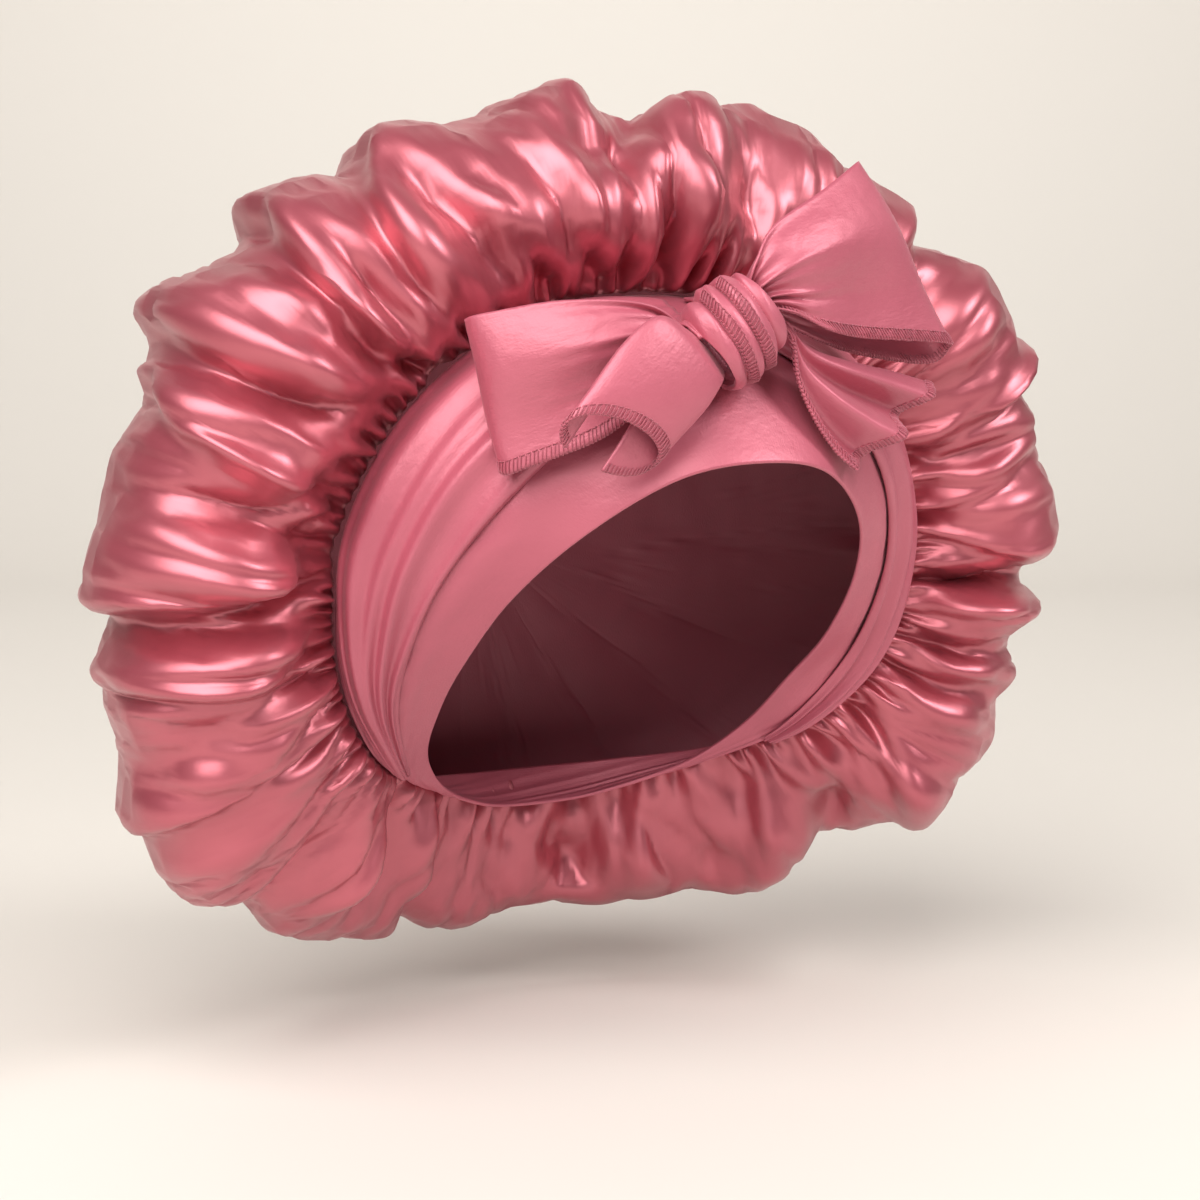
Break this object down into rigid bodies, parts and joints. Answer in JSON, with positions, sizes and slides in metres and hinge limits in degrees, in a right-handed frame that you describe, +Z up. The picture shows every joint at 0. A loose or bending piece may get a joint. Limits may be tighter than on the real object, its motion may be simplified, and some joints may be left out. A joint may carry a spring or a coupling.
{
  "type": "sleep bonnet",
  "caption": "Jumbo satin sleep bonnet in its worn form: a full gathered crown on a wide head band, with tie straps wrapped over the band and knotted in a bow at the front",
  "frame": {"origin": "the middle of the head that fills the bonnet, where the band grips; the head itself is left out", "axes": "+Z up, the face opening and the bow face -Y, the crown stands back along +Y, +X is the wearer's left"},
  "size_m": [0.3917, 0.2348, 0.3242],
  "materials": {
    "crown_satin": "glossy dusty-rose satin, duller on the inside",
    "band_satin": "matte dusty-rose satin with overlocked edges"
  },
  "bodies": {
    "root": {"crown": "crown_satin", "band": "band_satin", "tie_wrap_left": "band_satin", "tie_wrap_right": "band_satin", "bow_loop_right": "band_satin", "bow_loop_left": "band_satin", "bow_tail_left": "band_satin", "bow_tail_right": "band_satin", "bow_knot": "band_satin"}
  },
  "joints": []
}
